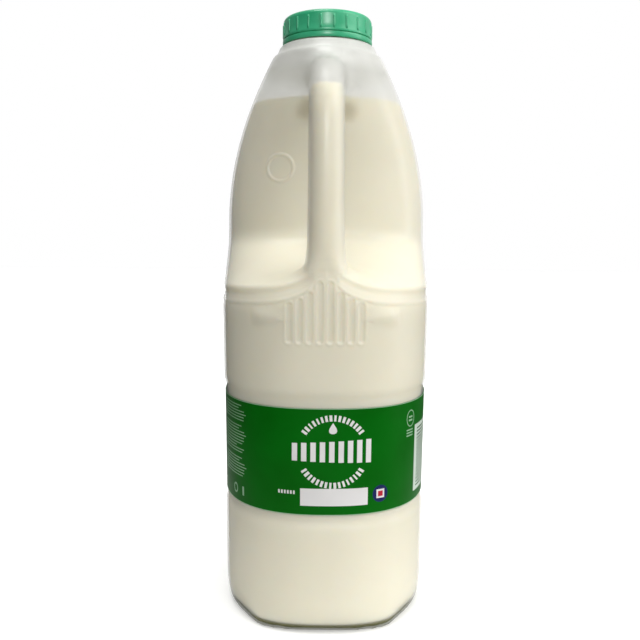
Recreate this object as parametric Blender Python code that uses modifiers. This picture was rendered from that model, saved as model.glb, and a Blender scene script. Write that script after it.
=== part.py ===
"""Two litre milk bottle of blown natural plastic with a hollow handle, its screw cap,
its printed sleeve label and the milk inside, up to the fill line.

Metres, +Z up. The handle faces -Y, and the origin is the middle of the base on the table.
"""

import math

import bmesh
import bpy
from mathutils import Vector

MM = 0.001

# Body, a rounded square in plan with straight walls
HALF_WIDTH = 50.0 * MM
HALF_DEPTH = 60.0 * MM
BODY_SQUARENESS = 2.4
WALL = 1.0 * MM
WALL_TAPER = 1.5 * MM
HEEL_INSET = 4.2 * MM
HEEL_HEIGHT = 13.0 * MM
HEEL_SQUARENESS = 2.8
PUSH_UP = 1.6 * MM
STANDING_BAND = 8.0 * MM
PUSH_UP_SLOPE = 3.0 * MM

# Label panel, slightly let in so that the sleeve lies flush
PANEL_BOTTOM_Z = 51.5 * MM
PANEL_TOP_Z = 107.0 * MM
PANEL_STEP = 0.9 * MM
PANEL_EDGE = 2.0 * MM

# Rim round the top of the lower body, and the shelf that runs back to the recess wall
RIM_Z = 147.5 * MM
ARCH_LIFT = 15.0 * MM
ARCH_SPREAD = 9.5 * MM
SHELF_EDGE_Z = 154.5 * MM
SHELF_EDGE_SETBACK = 2.6 * MM
SHELF_TOP_Z = 176.5 * MM
SHELF_FLATNESS = 1.7
RECESS_FRONT = 16.5 * MM
RECESS_CENTRE = 15.0 * MM

# Shoulders, which close in on the neck
UPPER_HALF_WIDTH = HALF_WIDTH - 0.4 * MM
UPPER_BACK = HALF_DEPTH - 0.8 * MM
SHOULDER_Z = 190.0 * MM
SHOULDER_END_Z = 262.8 * MM
SHOULDER_END_RADIUS = 25.7 * MM
SHOULDER_POWER = 1.95

# Neck and cap
COLLAR_Z = 264.2 * MM
COLLAR_RADIUS = 23.3 * MM
COLLAR_TOP_Z = 267.4 * MM
FINISH_RADIUS = 19.4 * MM
NECK_TOP_Z = 278.0 * MM
CAP_RADIUS = 21.6 * MM
CAP_WALL = 1.2 * MM
CAP_BOTTOM_Z = 268.0 * MM
CAP_TOP_Z = 280.5 * MM
CAP_EDGE = 1.6 * MM
BAND_HEIGHT = 3.2 * MM
BAND_GROOVE = 0.35 * MM

# Handle, as the line of its middle down the front: (forward, height, half width, half depth)
HANDLE_STATIONS = (
    (14.5, 248.0, 9.6, 9.2),
    (27.5, 247.3, 8.4, 9.4),
    (38.0, 244.2, 7.9, 9.5),
    (45.2, 238.3, 7.8, 9.5),
    (48.6, 230.0, 7.8, 9.5),
    (49.6, 216.0, 7.8, 9.5),
    (50.0, 196.0, 7.9, 9.6),
    (50.2, 175.5, 8.1, 9.7),
    (49.5, 165.3, 8.8, 10.2),
    (48.2, 158.0, 10.7, 11.2),
    (46.6, 152.0, 15.8, 12.5),
    (44.5, 146.0, 25.5, 13.6),
)
HANDLE_SQUARENESS = 2.3

# Grip flutes below the handle
FLUTE_COUNT = 8
FLUTE_PITCH = 4.45 * MM
FLUTE_RADIUS = 1.5 * MM
FLUTE_DEPTH = 0.55 * MM
FLUTE_BOTTOM_Z = 131.5 * MM
FLUTE_TOP_Z = 146.0 * MM

# Milk and label
MILK_LEVEL_Z = 241.3 * MM
LABEL_BOTTOM_Z = 55.3 * MM
LABEL_TOP_Z = 103.0 * MM
LABEL_THICKNESS = 0.3 * MM
GAP = 0.3 * MM

SIDES = 48
HANDLE_SIDES = 16

PARTS = "milk_bottle"
CUTTERS = "milk_bottle_cutters"


def clear_scene():
    """Remove what a new file starts with."""
    for thing in list(bpy.data.objects):
        bpy.data.objects.remove(thing, do_unlink=True)


def collection(name):
    """A collection of this name, linked to the scene."""
    group = bpy.data.collections.new(name)
    bpy.context.scene.collection.children.link(group)
    return group


def material(name, colour, roughness):
    """A plain Principled material in linear colour."""
    made = bpy.data.materials.new(name)
    made.use_nodes = True
    shader = made.node_tree.nodes["Principled BSDF"]
    shader.inputs["Base Color"].default_value = (*colour, 1.0)
    shader.inputs["Roughness"].default_value = roughness
    return made


def add_mesh(name, bm, group, surface=None):
    """Put a bmesh into the scene as one object."""
    mesh = bpy.data.meshes.new(name)
    bm.to_mesh(mesh)
    bm.free()
    thing = bpy.data.objects.new(name, mesh)
    group.objects.link(thing)
    if surface is None:
        thing.hide_render = True
        thing.display_type = "WIRE"
    else:
        mesh.materials.append(surface)
        mesh.shade_smooth()
    return thing


def boolean(thing, other, operation):
    """Join or cut with another object."""
    modifier = thing.modifiers.new(f"{operation.lower()} {other.name}", "BOOLEAN")
    modifier.operation = operation
    modifier.solver = "EXACT"
    modifier.object = other


def ease(t):
    """Smooth step from 0 to 1."""
    t = min(max(t, 0.0), 1.0)
    return t * t * (3.0 - 2.0 * t)


def power_arc(angle, squareness):
    """Cosine and sine of a superellipse at this angle."""
    c, s = math.cos(angle), math.sin(angle)
    return (
        math.copysign(abs(c) ** (2.0 / squareness), c),
        math.copysign(abs(s) ** (2.0 / squareness), s),
    )


def station(z, half_width, front, back, centre, squareness):
    """One level of the body: front and back are distances from the bottle's axis."""
    return {
        "z": z,
        "half_width": half_width,
        "front": front,
        "back": back,
        "centre": centre,
        "squareness": squareness,
    }


def body_ring(level):
    """Points round one level, anticlockwise seen from above, starting at +X."""
    points = []
    for i in range(SIDES):
        c, s = power_arc(2.0 * math.pi * i / SIDES, level["squareness"])
        reach = level["back"] - level["centre"] if s > 0.0 else level["front"] + level["centre"]
        points.append(Vector((level["half_width"] * c, level["centre"] + reach * s, level["z"])))
    return points


def taper(z):
    """How far the straight wall stands in at this height: nothing at the rim, most at the heel."""
    return WALL_TAPER * max(0.0, RIM_Z - z) / RIM_Z


def arch(x):
    """How far the rim rises towards the root of the handle, this far from the middle."""
    return ARCH_LIFT * math.exp(-abs(x) / ARCH_SPREAD)


def wall_level(z, inward, squareness=BODY_SQUARENESS):
    """A level of the lower body, moved in from its full size."""
    return station(z, HALF_WIDTH - inward, HALF_DEPTH - inward, HALF_DEPTH - inward, 0.0, squareness)


def heel_levels():
    """The rounded heel, from the standing band up to the straight wall."""
    levels = []
    for angle in (0, 22, 45, 67, 90):
        turn = math.radians(angle)
        z = HEEL_HEIGHT * (1.0 - math.cos(turn))
        inward = taper(z) + HEEL_INSET * (1.0 - math.sin(turn))
        squareness = HEEL_SQUARENESS + (BODY_SQUARENESS - HEEL_SQUARENESS) * math.sin(turn)
        levels.append(wall_level(z, inward, squareness))
    return levels


def wall_levels():
    """The straight wall with its let-in label panel, up to the rim."""
    marks = (
        (PANEL_BOTTOM_Z - PANEL_EDGE, 0.0),
        (PANEL_BOTTOM_Z, PANEL_STEP),
        (PANEL_TOP_Z, PANEL_STEP),
        (PANEL_TOP_Z + PANEL_EDGE, 0.0),
        (0.5 * (PANEL_TOP_Z + RIM_Z), 0.0),
        (RIM_Z - 3.0 * MM, 0.0),
        (RIM_Z, 0.5 * MM),
    )
    return [wall_level(z, inward + taper(z)) for z, inward in marks]


def shelf_levels():
    """The shelf from its front edge, a slope with a soft hollow at the foot of the recess wall."""
    levels = []
    edge = HALF_DEPTH - SHELF_EDGE_SETBACK
    for angle in (0, 16, 32, 46, 60, 74, 90):
        turn = math.radians(angle)
        back_share = math.sin(turn) ** SHELF_FLATNESS
        front = edge - (edge - RECESS_FRONT) * back_share
        z = SHELF_TOP_Z - (SHELF_TOP_Z - SHELF_EDGE_Z) * math.cos(turn) ** SHELF_FLATNESS
        centre = RECESS_CENTRE * back_share
        levels.append(station(z, UPPER_HALF_WIDTH, front, UPPER_BACK, centre, BODY_SQUARENESS))
    return levels


def shoulder_levels():
    """The upper body behind the handle, closing in on the neck."""
    levels = []
    for share in (0.0, 0.16, 0.30, 0.42, 0.53, 0.63, 0.72, 0.80, 0.87, 0.93, 0.97, 1.0):
        closing = share ** SHOULDER_POWER
        half_width = UPPER_HALF_WIDTH + (SHOULDER_END_RADIUS - UPPER_HALF_WIDTH) * closing
        back = UPPER_BACK + (SHOULDER_END_RADIUS - UPPER_BACK) * closing
        front = RECESS_FRONT + (SHOULDER_END_RADIUS - RECESS_FRONT) * ease(share) ** 1.5
        centre = RECESS_CENTRE * (1.0 - closing)
        squareness = BODY_SQUARENESS + (2.0 - BODY_SQUARENESS) * ease(share)
        z = SHOULDER_Z + (SHOULDER_END_Z - SHOULDER_Z) * share
        levels.append(station(z, half_width, front, back, centre, squareness))
    return levels


def round_level(z, radius):
    """A round level on the neck's axis."""
    return station(z, radius, radius, radius, 0.0, 2.0)


def neck_levels(top_z):
    """The collar under the cap and the round neck finish inside it."""
    return [
        round_level(COLLAR_Z, COLLAR_RADIUS),
        round_level(COLLAR_TOP_Z - 1.0 * MM, COLLAR_RADIUS),
        round_level(COLLAR_TOP_Z, COLLAR_RADIUS - 1.6 * MM),
        round_level(COLLAR_TOP_Z + 0.1 * MM, FINISH_RADIUS),
        round_level(top_z, FINISH_RADIUS),
    ]


def loft(rings):
    """A closed solid through rings of equal length, with flat ends."""
    bm = bmesh.new()
    rows = [[bm.verts.new(p) for p in ring] for ring in rings]
    count = len(rows[0])
    for low, high in zip(rows, rows[1:]):
        for i in range(count):
            j = (i + 1) % count
            bm.faces.new((low[i], low[j], high[j], high[i]))
    bm.faces.new(list(reversed(rows[0])))
    bm.faces.new(rows[-1])
    bmesh.ops.triangulate(bm, faces=[f for f in bm.faces if len(f.verts) > 4])
    bmesh.ops.recalc_face_normals(bm, faces=bm.faces)
    return bm


def shrink(bm, distance):
    """Move the whole surface inwards by a distance, as the inside of a wall."""
    bm.normal_update()
    moves = [(v, v.normal * distance) for v in bm.verts]
    for v, move in moves:
        v.co -= move


def body_solid(inset=0.0, top_z=NECK_TOP_Z):
    """The body without its handle, its surface moved in by the inset."""
    levels = heel_levels() + wall_levels() + shelf_levels() + shoulder_levels() + neck_levels(top_z)
    rings = [body_ring(level) for level in levels]
    band_in = taper(0.0) + HEEL_INSET + STANDING_BAND
    inner_foot = wall_level(0.0, band_in, HEEL_SQUARENESS)
    push_up = wall_level(PUSH_UP, band_in + PUSH_UP_SLOPE, HEEL_SQUARENESS)
    bm = loft([body_ring(push_up), body_ring(inner_foot), *rings])
    if inset:
        shrink(bm, inset)
    return bm


def handle_solid(inset=0.0):
    """The handle from inside the shoulder to inside the lower body."""
    line = [Vector((0.0, -forward * MM, z * MM)) for forward, z, _, _ in HANDLE_STATIONS]
    rings = []
    for i, (_, _, half_width, half_depth) in enumerate(HANDLE_STATIONS):
        along = (line[min(i + 1, len(line) - 1)] - line[max(i - 1, 0)]).normalized()
        outward = Vector((0.0, along.z, -along.y))
        ring = []
        for k in range(HANDLE_SIDES):
            c, s = power_arc(2.0 * math.pi * k / HANDLE_SIDES, HANDLE_SQUARENESS)
            ring.append(line[i] + Vector((half_width * MM * c, 0.0, 0.0)) + outward * half_depth * MM * s)
        rings.append(ring)
    bm = loft(rings)
    if inset:
        shrink(bm, inset)
    return bm


def flute_cutters():
    """Upright round-ended rods that press the grip flutes into the front wall."""
    bm = bmesh.new()
    for i in range(FLUTE_COUNT):
        from_middle = i - 0.5 * (FLUTE_COUNT - 1)
        x = from_middle * FLUTE_PITCH
        top_z = FLUTE_TOP_Z + arch(x)
        inward = taper(0.5 * (FLUTE_BOTTOM_Z + top_z))
        shape = 1.0 - (abs(x) / (HALF_WIDTH - inward)) ** BODY_SQUARENESS
        wall_y = (inward - HALF_DEPTH) * shape ** (1.0 / BODY_SQUARENESS)
        y = wall_y - FLUTE_RADIUS + FLUTE_DEPTH
        rows = []
        for z, radius in (
            (FLUTE_BOTTOM_Z, 0.35 * FLUTE_RADIUS),
            (FLUTE_BOTTOM_Z + 1.2 * MM, FLUTE_RADIUS),
            (top_z - 1.2 * MM, FLUTE_RADIUS),
            (top_z, 0.35 * FLUTE_RADIUS),
        ):
            row = []
            for k in range(8):
                turn = 2.0 * math.pi * k / 8
                row.append(bm.verts.new((x + radius * math.cos(turn), y + radius * math.sin(turn), z)))
            rows.append(row)
        for low, high in zip(rows, rows[1:]):
            for k in range(8):
                j = (k + 1) % 8
                bm.faces.new((low[k], low[j], high[j], high[k]))
        bm.faces.new(list(reversed(rows[0])))
        bm.faces.new(rows[-1])
    bmesh.ops.recalc_face_normals(bm, faces=bm.faces)
    return bm


def block(half_x, half_y, bottom_z, top_z):
    """A box on the bottle's axis."""
    bm = bmesh.new()
    bmesh.ops.create_cube(bm, size=1.0)
    for v in bm.verts:
        v.co = Vector((2.0 * half_x * v.co.x, 2.0 * half_y * v.co.y,
                       bottom_z + (top_z - bottom_z) * (v.co.z + 0.5)))
    return bm


def make_bottle(parts, cutters, surface):
    """The blown shell: outside less inside, with the mouth open and the handle hollow."""
    above_mouth = NECK_TOP_Z + 20.0 * MM
    bottle = add_mesh("bottle", body_solid(), parts, surface)
    handle = add_mesh("handle_outside", handle_solid(), cutters)
    inside = add_mesh("body_inside", body_solid(WALL, above_mouth), cutters)
    handle_inside = add_mesh("handle_inside", handle_solid(WALL), cutters)
    flutes = add_mesh("grip_flutes", flute_cutters(), cutters)
    boolean(inside, handle_inside, "UNION")
    boolean(bottle, handle, "UNION")
    boolean(bottle, inside, "DIFFERENCE")
    boolean(bottle, flutes, "DIFFERENCE")
    return bottle


def make_milk(parts, cutters, surface):
    """The milk fills the body and the handle up to its level."""
    milk = add_mesh("milk", body_solid(WALL + GAP), parts, surface)
    in_handle = add_mesh("milk_in_handle", handle_solid(WALL + GAP), cutters)
    headspace = add_mesh("headspace", block(0.1, 0.1, MILK_LEVEL_Z, 0.4), cutters)
    boolean(milk, in_handle, "UNION")
    boolean(milk, headspace, "DIFFERENCE")
    return milk


def make_label(parts, surface):
    """The sleeve label, a thin band round the let-in panel."""
    bm = bmesh.new()
    rows = []
    for z in (LABEL_BOTTOM_Z, 0.5 * (LABEL_BOTTOM_Z + LABEL_TOP_Z), LABEL_TOP_Z):
        level = wall_level(z, PANEL_STEP + taper(z) - GAP)
        rows.append([bm.verts.new(p) for p in body_ring(level)])
    for low, high in zip(rows, rows[1:]):
        for i in range(SIDES):
            j = (i + 1) % SIDES
            bm.faces.new((low[i], low[j], high[j], high[i]))
    label = add_mesh("label", bm, parts, surface)
    film = label.modifiers.new("film thickness", "SOLIDIFY")
    film.thickness = LABEL_THICKNESS
    film.offset = 1.0
    film.use_even_offset = True
    return label


def make_cap(parts, surface):
    """The turned cap: a cup with a rounded top edge and a tear band under a fine groove."""
    ceiling_z = NECK_TOP_Z + GAP
    bore = CAP_RADIUS - CAP_WALL
    band_z = CAP_BOTTOM_Z + BAND_HEIGHT
    profile = [(0.0, CAP_TOP_Z), (CAP_RADIUS - CAP_EDGE - 0.8 * MM, CAP_TOP_Z)]
    for angle in (20, 50, 80):
        turn = math.radians(angle)
        profile.append((CAP_RADIUS - 0.3 * MM - CAP_EDGE * (1.0 - math.sin(turn)),
                        CAP_TOP_Z - CAP_EDGE * (1.0 - math.cos(turn))))
    profile += [
        (CAP_RADIUS - 0.2 * MM, CAP_TOP_Z - CAP_EDGE - 0.6 * MM),
        (CAP_RADIUS - 0.1 * MM, band_z + BAND_GROOVE),
        (CAP_RADIUS - 0.4 * MM, band_z + 0.1 * MM),
        (CAP_RADIUS - 0.4 * MM, band_z - 0.1 * MM),
        (CAP_RADIUS, band_z - BAND_GROOVE),
        (CAP_RADIUS, CAP_BOTTOM_Z),
        (bore, CAP_BOTTOM_Z),
        (bore, ceiling_z),
        (0.0, ceiling_z),
    ]
    bm = bmesh.new()
    points = [bm.verts.new((x, 0.0, z)) for x, z in profile]
    for a, b in zip(points, points[1:]):
        bm.edges.new((a, b))
    cap = add_mesh("cap", bm, parts, surface)
    turning = cap.modifiers.new("turned", "SCREW")
    turning.axis = "Z"
    turning.steps = SIDES
    turning.render_steps = SIDES
    turning.use_merge_vertices = True
    turning.merge_threshold = 0.00001
    return cap


def main():
    clear_scene()
    parts = collection(PARTS)
    cutters = collection(CUTTERS)
    natural_plastic = material("natural_plastic", (0.80, 0.79, 0.72), 0.38)
    whole_milk = material("milk", (0.83, 0.80, 0.68), 0.30)
    green_plastic = material("green_plastic", (0.06, 0.40, 0.20), 0.35)
    printed_film = material("printed_film", (0.01, 0.11, 0.02), 0.30)
    make_bottle(parts, cutters, natural_plastic)
    make_milk(parts, cutters, whole_milk)
    make_cap(parts, green_plastic)
    make_label(parts, printed_film)


main()
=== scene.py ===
"""Looks of the two litre milk bottle: blown skin, milk, ribbed cap, printed sleeve, camera and lights."""

import math

import bmesh
import bpy
import numpy as np
from mathutils import Matrix, Vector


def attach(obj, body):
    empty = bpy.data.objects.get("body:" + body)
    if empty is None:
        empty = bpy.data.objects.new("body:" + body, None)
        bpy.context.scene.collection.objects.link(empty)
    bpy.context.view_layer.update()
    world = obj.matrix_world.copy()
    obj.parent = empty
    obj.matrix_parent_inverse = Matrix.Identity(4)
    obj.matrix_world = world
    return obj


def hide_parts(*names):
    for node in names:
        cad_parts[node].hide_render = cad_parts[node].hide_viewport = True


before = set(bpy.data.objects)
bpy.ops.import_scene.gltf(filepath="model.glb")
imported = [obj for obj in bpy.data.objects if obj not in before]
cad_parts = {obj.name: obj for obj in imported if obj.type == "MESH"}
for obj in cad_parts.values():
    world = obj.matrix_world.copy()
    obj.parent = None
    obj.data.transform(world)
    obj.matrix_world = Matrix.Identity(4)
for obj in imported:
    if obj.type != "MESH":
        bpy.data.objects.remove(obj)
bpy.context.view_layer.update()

MM = 0.001

# Body, all in millimetres, near enough as the solids have it
HALF_WIDTH = 50.0
HALF_DEPTH = 60.0
BODY_SQUARENESS = 2.4
WALL = 1.1
WALL_TAPER = 1.5
HEEL_INSET = 6.0
HEEL_HEIGHT = 13.0
HEEL_SQUARENESS = 3.6
CORNER_ACROSS = 0.857
CORNER_ALONG = 0.515
CORNER_REACH = 50.7
CORNER_RISE = 0.38
CORNER_SOFTNESS = 1.5
PUSH_UP = 1.6
STANDING_BAND = 8.0
PUSH_UP_SLOPE = 3.0
PANEL_BOTTOM_Z = 51.5
PANEL_TOP_Z = 107.0
PANEL_STEP = 0.9
PANEL_EDGE = 2.0

# Rim, shelf, recess wall and shoulders
RIM_Z = 147.5
SHELF_EDGE_Z = 154.5
SHELF_EDGE_SETBACK = 2.6
SHELF_TOP_Z = 176.5
SHELF_FLATNESS = 1.7
SHELF_SOFTNESS = 3.0
RECESS_FRONT = 16.5
RECESS_CENTRE = 15.0
UPPER_HALF_WIDTH = HALF_WIDTH - 0.4
UPPER_BACK = HALF_DEPTH - 0.8
SHOULDER_Z = 183.0
SHOULDER_END_Z = 262.8
SHOULDER_END_RADIUS = 25.7
SHOULDER_POWER = 2.05

# Rounding of every other edge along the profile
EDGE_SOFTNESS = 0.9

# Neck
COLLAR_Z = 264.2
COLLAR_RADIUS = 23.3
COLLAR_TOP_Z = 267.4
FINISH_RADIUS = 19.4
NECK_TOP_Z = 278.0

# The rim rises in a pointed arch to the root of the handle
ARCH_LIFT = 15.0
ARCH_SPREAD = 9.5

# Handle: forward, height, half width, half depth along its middle line
HANDLE_STATIONS = (
    (13.0, 250.6, 15.0, 11.0),
    (20.0, 250.2, 10.6, 10.2),
    (28.5, 248.9, 8.6, 9.7),
    (38.0, 245.0, 7.9, 9.5),
    (45.2, 238.3, 7.8, 9.5),
    (48.6, 230.0, 7.8, 9.5),
    (49.6, 216.0, 7.8, 9.5),
    (50.0, 196.0, 7.9, 9.6),
    (50.2, 175.5, 8.1, 9.7),
    (49.5, 165.3, 8.8, 10.3),
    (48.2, 158.0, 10.7, 11.6),
    (46.6, 152.0, 15.8, 13.0),
    (44.5, 146.0, 25.5, 14.6),
)
HANDLE_SQUARENESS = 2.3
ROOT_SQUARENESS = 4.0
ROOT_FILLET = 6.0

# Grip flutes pressed into the front under the handle
FLUTE_COUNT = 8
FLUTE_PITCH = 4.45
FLUTE_HALF_WIDTH = 1.1
FLUTE_DEPTH = 0.66
FLUTE_LIP = 0.15
FLUTE_BOTTOM_Z = 131.5
FLUTE_TOP_Z = 145.5

# Raised mould ring on the left of the recess wall
MOULD_RING_X = -21.9
MOULD_RING_Z = 209.0
MOULD_RING_RADIUS = 6.2
MOULD_RING_HEIGHT = 0.6
MOULD_RING_HALF_WIDTH = 1.2

# Painted shade in the crease beside the handle's upper root, tinting the milk: its middle as place aside,
# half of its y, and height
PINCH = (9.5, -12.0, 234.5)
PINCH_SHADE_TINT = "#CBC29A"
PINCH_SHADE_FADE = (1.0, 7.5)

# Painted shade at the heel, dark and olive, and the heights at which it fades
HEEL_SHADE_TINT = "#7A7C58"
HEEL_SHADE_FADE = (3.0, 5.0)

# How opaque the wall is below and at the collar, and the heights between which that rises
COVER = (0.35, 0.58)
COVER_RISE = (252.0, 259.0)

# Milk, label and cap
MILK_LEVEL_Z = 241.3
MILK_INSET = 0.85
LABEL_BOTTOM_Z = 55.3
LABEL_TOP_Z = 103.0
LABEL_LIFT = 0.25
LABEL_THICKNESS = 0.25
PRINT_LIFT = 0.54
PRINT_DEPTH = 0.08
PRINT_LAYER = 0.03
CAP_RADIUS = 21.6
CAP_WALL = 1.2
CAP_BOTTOM_Z = 268.0
CAP_TOP_Z = 280.5
CAP_EDGE = 2.2

# Print on the label's front: distances round the label from its front, and heights
MARK_RING_MIDDLE = (3.7, 83.8)
MARK_RING_RADIUS = 15.0
MARK_COUNT = 16
MARK_SIZE = (1.35, 2.7)
MARK_RING_ARCS = ((35.0, 110.0), (214.0, 112.0))
DROP_Z = 94.3
DROP_SIZE = 2.5
BAR_COUNT = 9
BAR_FIELD = (-14.1, 22.3, 79.2, 88.4)
BAR_SHARE = 0.58
BLANK_FIELD = (-10.4, 19.4, 59.6, 67.4)
SEAL_MIDDLE = (25.6, 63.9)
SEAL_RADIUS = 3.9
SEAL_SQUARES = (2.0, 1.2)
DATE_MARKS = (-20.4, -12.2, 65.4)
DATE_MARK_COUNT = 6
DATE_MARK_HALF_HEIGHT = 0.8

# Print on the label's sides: places across, as seen from the front, and heights
FINE_ROWS_ACROSS = (-46.0, -34.6)
FINE_ROW_BLOCKS = ((100.5, 6), (91.0, 10), (76.0, 7))
FINE_ROW_PITCH = 1.35
FINE_ROW_HEIGHT = 0.42
OVAL_MIDDLE = (38.6, 95.0)
TABLE_FROM = 41.0
TABLE_WIDTH = 38.0
TABLE_HEIGHTS = (59.5, 91.0)
TABLE_COLUMNS = ((3.0, 18.0), (24.0, 11.0))
TABLE_ROW_COUNT = 18

# Camera: its place in millimetres, how it is pitched down, turned and rolled, and its lens
CAMERA_DISTANCE = 381.5
CAMERA_HEIGHT = 175.2
CAMERA_TURN = (5.99, 0.40, 0.40)
SENSOR_WIDTH = 36.0
IMAGE_PIXELS = 640.0
FOCAL_PIXELS = 763.0

# How much the floor is lifted towards white where the camera sees it
FLOOR_GLOW = 0.2

# Strength of each lamp, and of the light from each side of the studio
LIGHTS = {"key": 1.1, "top": 1.75, "window": 11.5, "strip": 6.5, "right": 0.46, "behind": 0.55}

# The skin reaches this far forward and back at most, just inside the solids
DEPTH_REACH = 59.95

# Mesh sizes
SKIN_VOXEL = 1.45
INSIDE_VOXEL = 3.0
MILK_VOXEL = 2.0


def smooth(t):
    """Smooth step from 0 to 1, for numbers and arrays."""
    t = np.clip(t, 0.0, 1.0)
    return t * t * (3.0 - 2.0 * t)


def taper(z):
    """How far the straight wall stands in at this height."""
    return WALL_TAPER * np.maximum(0.0, RIM_Z - z) / RIM_Z


def wall_columns(z, inward, squareness):
    """Half width, front, back, centre and squareness of lower body levels."""
    one = np.ones_like(z)
    return [z, HALF_WIDTH - inward, HALF_DEPTH - inward, HALF_DEPTH - inward, 0.0 * one, squareness * one]


def heel_part():
    """Rows of the rounded heel, from the base up."""
    turn = np.radians(np.linspace(0.0, 90.0, 31))
    z = HEEL_HEIGHT * (1.0 - np.cos(turn))
    squareness = HEEL_SQUARENESS + (BODY_SQUARENESS - HEEL_SQUARENESS) * np.sin(turn)
    return wall_columns(z, taper(z) + HEEL_INSET * (1.0 - np.sin(turn)), squareness)


def wall_part():
    """Rows of the straight wall, with the label's panel set in and a fine rim at its top."""
    z = np.linspace(HEEL_HEIGHT + 0.5, RIM_Z, 260)
    step = smooth((z - PANEL_BOTTOM_Z + PANEL_EDGE) / PANEL_EDGE) - smooth((z - PANEL_TOP_Z) / PANEL_EDGE)
    rim = 0.55 * smooth((z - RIM_Z + 3.0) / 3.0)
    return wall_columns(z, taper(z) + PANEL_STEP * step + rim, BODY_SQUARENESS)


def shelf_part():
    """Rows of the shelf that runs from the rim back to the recess wall."""
    turn = np.radians(np.linspace(0.0, 90.0, 91))
    edge = HALF_DEPTH - SHELF_EDGE_SETBACK
    back_share = np.sin(turn) ** SHELF_FLATNESS
    drop = np.maximum(0.0, np.cos(turn)) ** SHELF_FLATNESS
    one = np.ones_like(turn)
    return [SHELF_TOP_Z - (SHELF_TOP_Z - SHELF_EDGE_Z) * drop, UPPER_HALF_WIDTH * one,
            edge - (edge - RECESS_FRONT) * back_share, UPPER_BACK * one,
            RECESS_CENTRE * back_share, BODY_SQUARENESS * one]


def shoulder_part():
    """Rows from the top of the shelf to the foot of the collar."""
    share = np.linspace(0.0, 1.0, 91)
    closing = share ** SHOULDER_POWER
    return [SHOULDER_Z + (SHOULDER_END_Z - SHOULDER_Z) * share,
            UPPER_HALF_WIDTH + (SHOULDER_END_RADIUS - UPPER_HALF_WIDTH) * closing,
            RECESS_FRONT + (SHOULDER_END_RADIUS - RECESS_FRONT) * smooth(share) ** 1.5,
            UPPER_BACK + (SHOULDER_END_RADIUS - UPPER_BACK) * closing,
            RECESS_CENTRE * (1.0 - closing),
            BODY_SQUARENESS + (2.0 - BODY_SQUARENESS) * smooth(share)]


def neck_part(top_z):
    """Rows of the collar and of the plain neck under the cap."""
    z = np.array([COLLAR_Z, COLLAR_TOP_Z - 1.0, COLLAR_TOP_Z, COLLAR_TOP_Z + 0.3, top_z])
    radius = np.array([COLLAR_RADIUS, COLLAR_RADIUS, COLLAR_RADIUS - 1.4, FINISH_RADIUS, FINISH_RADIUS])
    one = np.ones_like(z)
    return [z, radius, radius, radius, 0.0 * one, 2.0 * one]


def blurred_rows(rows, sigma):
    """Rows run together with their neighbours, with sigma as a number of rows."""
    half = int(4 * sigma)
    kernel = np.exp(-0.5 * (np.arange(-half, half + 1) / sigma) ** 2)
    kernel /= kernel.sum()
    padded = np.vstack([np.repeat(rows[:1], half, 0), rows, np.repeat(rows[-1:], half, 0)])
    return np.column_stack([np.convolve(column, kernel, "valid") for column in padded.T])


def body_profile(top_z):
    """Rows of height, half width, front, back, centre and squareness, with every edge rounded as blown."""
    parts = (heel_part(), wall_part(), shelf_part(), shoulder_part(), neck_part(top_z))
    rows = np.vstack([np.column_stack(part) for part in parts])
    reach = np.concatenate([[0.0], np.cumsum(np.hypot(np.diff(rows[:, 0]), np.diff(rows[:, 2])))])
    step = 0.25
    along = np.arange(0.0, reach[-1], step)
    even = np.column_stack([np.interp(along, reach, rows[:, k]) for k in range(6)])
    soft = np.exp(-((even[:, 0] - SHELF_TOP_Z) / 8.0) ** 2)[:, None]
    blurred = (blurred_rows(even, EDGE_SOFTNESS / step) * (1.0 - soft)
               + blurred_rows(even, SHELF_SOFTNESS / step) * soft)
    blurred[:4] = even[:4]
    return blurred[np.concatenate([[True], np.diff(np.maximum.accumulate(blurred[:, 0])) > 1e-6])]


def arch(x, y):
    """Height that the rim gains towards the handle, on the front alone."""
    return ARCH_LIFT * np.exp(-np.abs(x) / ARCH_SPREAD) * smooth((-y - 36.0) / 14.0)


def body_field(p, profile):
    """Signed distance, near enough, to the body without its handle: below zero inside."""
    x, y, z = p[:, 0], p[:, 1], p[:, 2]
    lifted = z - arch(x, y) * smooth((z - 120.0) / 20.0)
    half, front, back, centre, power = (
        np.interp(lifted, profile[:, 0], profile[:, k]) for k in range(1, 6))
    u = np.abs(x) / half
    v = np.where(y < centre, (centre - y) / (front + centre), (y - centre) / (back - centre))
    around = (u ** power + v ** power) ** (1.0 / power)
    return (around - 1.0) * np.minimum(half, 0.5 * (front + back))


def directions(points):
    """Unit steps along a line of points."""
    steps = np.gradient(points, axis=0)
    return steps / np.linalg.norm(steps, axis=1)[:, None]


def handle_line():
    """Dense points of the handle's middle line with its half sizes, smoothed."""
    rows = np.array(HANDLE_STATIONS)
    at = np.linspace(0.0, len(rows) - 1.0, 145)
    even = np.column_stack([np.interp(at, np.arange(len(rows)), rows[:, k]) for k in range(4)])
    squared = HANDLE_SQUARENESS + (ROOT_SQUARENESS - HANDLE_SQUARENESS) * smooth((172.0 - even[:, 1]) / 14.0)
    even = np.column_stack([even, squared])
    for _ in range(26):
        even[1:-1] = 0.25 * even[:-2] + 0.5 * even[1:-1] + 0.25 * even[2:]
    return even


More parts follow.
